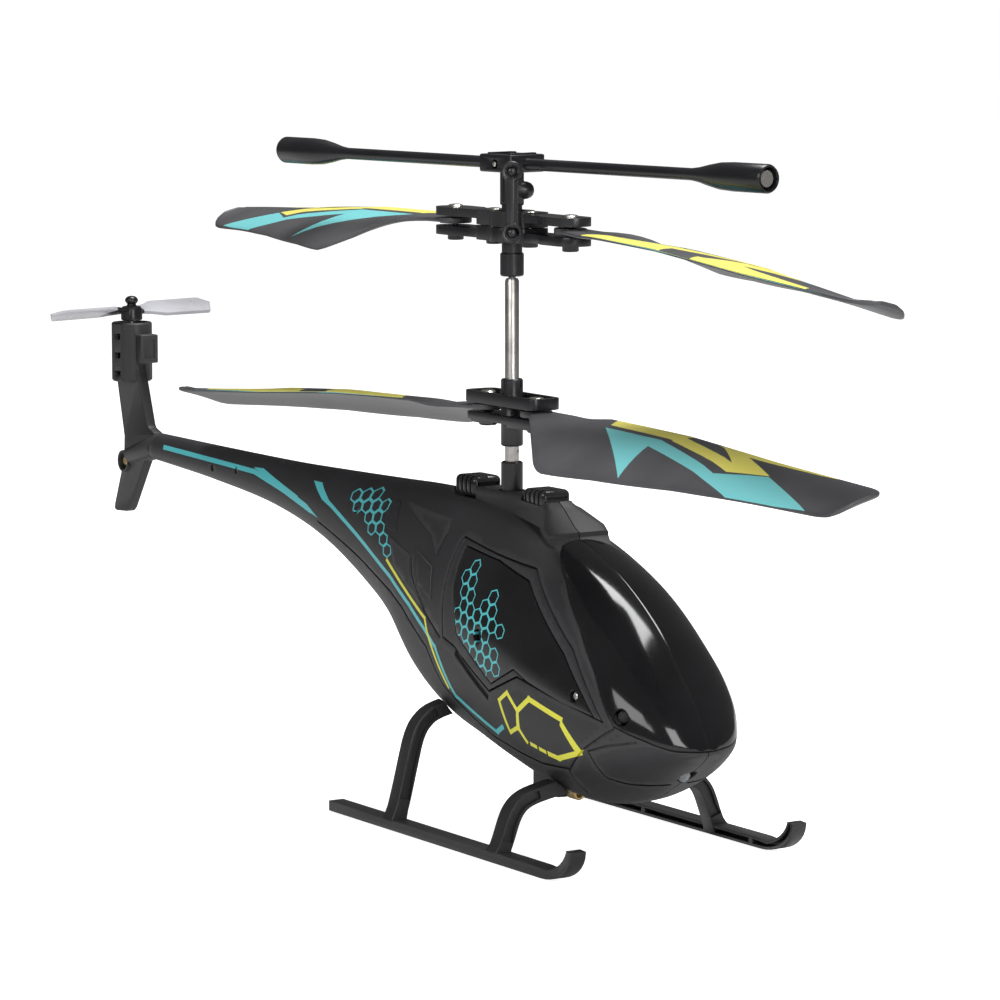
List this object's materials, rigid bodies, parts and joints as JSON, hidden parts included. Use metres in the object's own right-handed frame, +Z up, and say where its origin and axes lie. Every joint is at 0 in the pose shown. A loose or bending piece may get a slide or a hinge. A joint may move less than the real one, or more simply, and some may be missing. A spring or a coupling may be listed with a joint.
{
  "type": "toy helicopter",
  "caption": "Indoor coaxial toy helicopter with counter-rotating main rotors, tilting flybar, swinging blades, level tail rotor and landing skids.",
  "frame": {"origin": "middle of the object's length and width, on the underside of the skids", "axes": "+X towards the nose, +Y to the left side, +Z up along the rotor mast"},
  "size_m": [0.1994, 0.0368, 0.0908],
  "materials": {
    "matte_black": "fine matte moulding texture with printed turquoise and yellow graphics",
    "gloss_black": "polished",
    "blade_grey": "satin, printed turquoise and yellow graphics on top",
    "tail_grey": "polished light grey",
    "steel": "brushed",
    "brass": "bright turned",
    "white_nylon": "natural nylon",
    "foil": "laminated pouch foil",
    "board_green": "solder mask",
    "clear_lens": "clear lamp lens"
  },
  "bodies": {
    "fuselage": {"right_shell": "matte_black", "left_shell": "matte_black", "canopy": "gloss_black", "right_door": "gloss_black", "left_door": "gloss_black", "lamp_lens": "clear_lens", "rear_vent": "gloss_black", "front_vent": "gloss_black", "left_skid": "matte_black", "right_skid": "matte_black", "tail_fin": "matte_black", "tail_motor": "steel", "front_motor": "steel", "rear_motor": "steel", "mast_bush": "matte_black", "chassis_frame": "matte_black", "shaft_bearing": "brass", "battery": "foil", "circuit_board": "board_green", "switch_housing": "matte_black", "charge_contact": "brass"},
    "upper_rotor": {"inner_shaft": "steel", "inner_gear": "white_nylon", "rotor_head": "matte_black", "flybar_pin": "steel", "hub_pin": "steel"},
    "lower_rotor": {"outer_shaft": "steel", "outer_gear": "white_nylon", "lower_hub": "matte_black", "lower_clamp": "matte_black", "lower_screw_front": "steel", "lower_screw_rear": "steel"},
    "front_pinion": {"front_pinion": "brass"},
    "rear_pinion": {"rear_pinion": "brass"},
    "flybar": {"flybar": "matte_black", "flybar_slug_front": "steel", "flybar_slug_rear": "steel"},
    "upper_hub": {"hub_top": "matte_black", "hub_bottom": "matte_black", "hub_screw_1": "steel", "hub_screw_2": "steel", "hub_screw_3": "steel", "hub_screw_4": "steel"},
    "link": {"link_rod": "matte_black"},
    "lower_blade_front": {"lower_blade_front": "blade_grey"},
    "lower_blade_rear": {"lower_blade_rear": "blade_grey"},
    "upper_blade_front": {"upper_blade_front": "blade_grey"},
    "upper_blade_rear": {"upper_blade_rear": "blade_grey"},
    "tail_rotor": {"tail_rotor": "tail_grey"},
    "power_switch": {"power_switch": "matte_black"}
  },
  "joints": [
    {"name": "lower_rotor_spin", "type": "hinge", "parent": "fuselage", "child": "lower_rotor", "pos_m": [0.01469, 0, 0.05], "axis": [0, 0, 1], "continuous": true},
    {"name": "upper_rotor_spin", "type": "hinge", "parent": "fuselage", "child": "upper_rotor", "pos_m": [0.01469, 0, 0.05], "axis": [0, 0, 1], "continuous": true},
    {"name": "front_pinion_spin", "type": "hinge", "parent": "fuselage", "child": "front_pinion", "pos_m": [0.02391, 0, 0.025], "axis": [0, 0, 1], "continuous": true},
    {"name": "rear_pinion_spin", "type": "hinge", "parent": "fuselage", "child": "rear_pinion", "pos_m": [0.00321, 0, 0.021], "axis": [0, 0, 1], "continuous": true},
    {"name": "tail_rotor_spin", "type": "hinge", "parent": "fuselage", "child": "tail_rotor", "pos_m": [-0.09401, 0, 0.0618], "axis": [0, 0, 1], "continuous": true},
    {"name": "flybar_tilt", "type": "hinge", "parent": "upper_rotor", "child": "flybar", "pos_m": [0.01469, 0, 0.0889], "axis": [0.1201, -0.9928, 0], "range_deg": [-12, 12]},
    {"name": "hub_tilt", "type": "hinge", "parent": "upper_rotor", "child": "upper_hub", "pos_m": [0.01469, 0, 0.0805], "axis": [-0.5417, -0.8406, 0], "range_deg": [-9.5, 9.5]},
    {"name": "link_slide", "type": "slide", "parent": "upper_rotor", "child": "link", "axis": [0, 0, 1], "range_m": [-0.0011, 0.0011]},
    {"name": "upper_blade_front_swing", "type": "hinge", "parent": "upper_hub", "child": "upper_blade_front", "pos_m": [0.02889, 0, 0.0806], "axis": [0, 0, 1], "range_deg": [-8, 8]},
    {"name": "upper_blade_rear_swing", "type": "hinge", "parent": "upper_hub", "child": "upper_blade_rear", "pos_m": [0.00049, 0, 0.0806], "axis": [0, 0, 1], "range_deg": [-8, 8]},
    {"name": "lower_blade_front_swing", "type": "hinge", "parent": "lower_rotor", "child": "lower_blade_front", "pos_m": [0.02069, 0, 0.05575], "axis": [0, 0, 1], "range_deg": [-10, 10]},
    {"name": "lower_blade_rear_swing", "type": "hinge", "parent": "lower_rotor", "child": "lower_blade_rear", "pos_m": [0.00869, 0, 0.05575], "axis": [0, 0, 1], "range_deg": [-10, 10]},
    {"name": "switch_slide", "type": "slide", "parent": "fuselage", "child": "power_switch", "axis": [1, 0, 0], "range_m": [0, 0.0018]}
  ],
  "couplings": [
    {"joint": "front_pinion_spin", "follows": "lower_rotor_spin", "ratio": -3.5556},
    {"joint": "rear_pinion_spin", "follows": "upper_rotor_spin", "ratio": -4.6667},
    {"joint": "hub_tilt", "follows": "flybar_tilt", "ratio": 0.7696},
    {"joint": "link_slide", "follows": "flybar_tilt", "m_per_rad": 0.005002}
  ]
}
